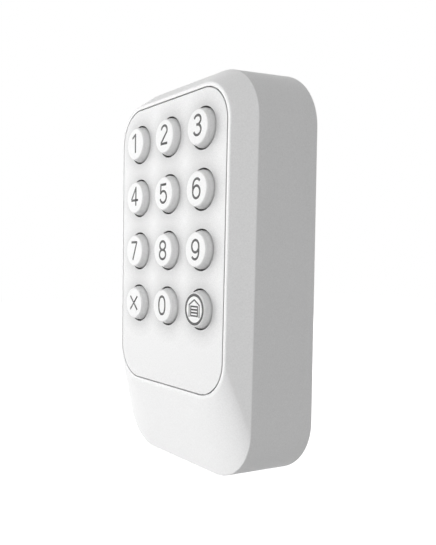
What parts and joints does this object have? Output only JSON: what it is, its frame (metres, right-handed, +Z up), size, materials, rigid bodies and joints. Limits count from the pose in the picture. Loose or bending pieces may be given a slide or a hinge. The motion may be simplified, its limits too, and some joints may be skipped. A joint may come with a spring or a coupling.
{
  "type": "wireless garage keypad",
  "caption": "Weatherproof wall keypad: deep moulded casing with a sloping chin, inset key panel, round keys in a grid, and a hook-on wall plate behind.",
  "frame": {"origin": "middle of the four wall screw holes, on the wall plate's back face", "axes": "+Y into the wall, so the keys face -Y; +Z up the wall; +X to the right seen from the front"},
  "size_m": [0.074, 0.0325, 0.1281],
  "materials": {
    "white_casing_plastic": "fine-grained moulded weatherproof ABS",
    "white_panel_plastic": "fine-grained moulded ABS",
    "white_key_plastic": "smooth satin moulded plastic",
    "clear_silicone": "milky silicone",
    "seal_rubber": "soft black foam rubber",
    "board_laminate": "green solder mask",
    "chip_resin": "black moulded epoxy",
    "lamp_resin": "pale moulded resin",
    "tinned_can": "tinned sheet steel",
    "capacitor_can": "drawn aluminium",
    "sprung_steel": "nickel-plated spring steel",
    "zinc_screw": "zinc-plated steel",
    "cell_sleeve": "plain plastic sleeve",
    "grey_housing_plastic": "fine-grained moulded ABS",
    "plate_plastic": "fine-grained moulded ABS"
  },
  "bodies": {
    "wall_plate": {"wall_plate": "plate_plastic", "lock_screw": "zinc_screw"},
    "unit": {"key_panel": "white_panel_plastic", "key_mat": "clear_silicone", "snap_domes": "sprung_steel", "circuit_board": "board_laminate", "board_screws": "zinc_screw", "backlight_lamps": "lamp_resin", "microcontroller": "chip_resin", "radio_module": "tinned_can", "timing_crystal": "tinned_can", "storage_capacitors": "capacitor_can", "antenna": "sprung_steel", "sounder": "chip_resin", "front_casing": "white_casing_plastic", "rear_housing": "grey_housing_plastic", "housing_seal": "seal_rubber", "door_seal": "seal_rubber", "casing_screws": "zinc_screw", "battery_left": "cell_sleeve", "battery_right": "cell_sleeve", "terminal_contacts": "sprung_steel", "bridge_contact": "sprung_steel"},
    "battery_door": {"battery_door": "grey_housing_plastic"},
    "key_1": {"key_1": "white_key_plastic"},
    "key_2": {"key_2": "white_key_plastic"},
    "key_3": {"key_3": "white_key_plastic"},
    "key_4": {"key_4": "white_key_plastic"},
    "key_5": {"key_5": "white_key_plastic"},
    "key_6": {"key_6": "white_key_plastic"},
    "key_7": {"key_7": "white_key_plastic"},
    "key_8": {"key_8": "white_key_plastic"},
    "key_9": {"key_9": "white_key_plastic"},
    "key_0": {"key_0": "white_key_plastic"},
    "key_cancel": {"key_cancel": "white_key_plastic"},
    "key_garage": {"key_garage": "white_key_plastic"}
  },
  "joints": [
    {"name": "unit_lift", "type": "slide", "parent": "wall_plate", "child": "unit", "axis": [0, 0, 1], "range_m": [0, 0.006]},
    {"name": "door_out", "type": "slide", "parent": "unit", "child": "battery_door", "axis": [0, 1, 0], "range_m": [0, 0.012]},
    {"name": "press_1", "type": "slide", "parent": "unit", "child": "key_1", "axis": [0, 0.9998, -0.0209], "range_m": [0, 0.001], "stiffness_N_per_m": 1500, "springref_m": -0.0004, "deforming": ["key_mat"]},
    {"name": "press_2", "type": "slide", "parent": "unit", "child": "key_2", "axis": [0, 0.9998, -0.0209], "range_m": [0, 0.001], "stiffness_N_per_m": 1500, "springref_m": -0.0004, "deforming": ["key_mat"]},
    {"name": "press_3", "type": "slide", "parent": "unit", "child": "key_3", "axis": [0, 0.9998, -0.0209], "range_m": [0, 0.001], "stiffness_N_per_m": 1500, "springref_m": -0.0004, "deforming": ["key_mat"]},
    {"name": "press_4", "type": "slide", "parent": "unit", "child": "key_4", "axis": [0, 0.9998, -0.0209], "range_m": [0, 0.001], "stiffness_N_per_m": 1500, "springref_m": -0.0004, "deforming": ["key_mat"]},
    {"name": "press_5", "type": "slide", "parent": "unit", "child": "key_5", "axis": [0, 0.9998, -0.0209], "range_m": [0, 0.001], "stiffness_N_per_m": 1500, "springref_m": -0.0004, "deforming": ["key_mat"]},
    {"name": "press_6", "type": "slide", "parent": "unit", "child": "key_6", "axis": [0, 0.9998, -0.0209], "range_m": [0, 0.001], "stiffness_N_per_m": 1500, "springref_m": -0.0004, "deforming": ["key_mat"]},
    {"name": "press_7", "type": "slide", "parent": "unit", "child": "key_7", "axis": [0, 0.9998, -0.0209], "range_m": [0, 0.001], "stiffness_N_per_m": 1500, "springref_m": -0.0004, "deforming": ["key_mat"]},
    {"name": "press_8", "type": "slide", "parent": "unit", "child": "key_8", "axis": [0, 0.9998, -0.0209], "range_m": [0, 0.001], "stiffness_N_per_m": 1500, "springref_m": -0.0004, "deforming": ["key_mat"]},
    {"name": "press_9", "type": "slide", "parent": "unit", "child": "key_9", "axis": [0, 0.9998, -0.0209], "range_m": [0, 0.001], "stiffness_N_per_m": 1500, "springref_m": -0.0004, "deforming": ["key_mat"]},
    {"name": "press_0", "type": "slide", "parent": "unit", "child": "key_0", "axis": [0, 0.9998, -0.0209], "range_m": [0, 0.001], "stiffness_N_per_m": 1500, "springref_m": -0.0004, "deforming": ["key_mat"]},
    {"name": "press_cancel", "type": "slide", "parent": "unit", "child": "key_cancel", "axis": [0, 0.9998, -0.0209], "range_m": [0, 0.001], "stiffness_N_per_m": 1500, "springref_m": -0.0004, "deforming": ["key_mat"]},
    {"name": "press_garage", "type": "slide", "parent": "unit", "child": "key_garage", "axis": [0, 0.9998, -0.0209], "range_m": [0, 0.001], "stiffness_N_per_m": 1500, "springref_m": -0.0004, "deforming": ["key_mat"]}
  ]
}
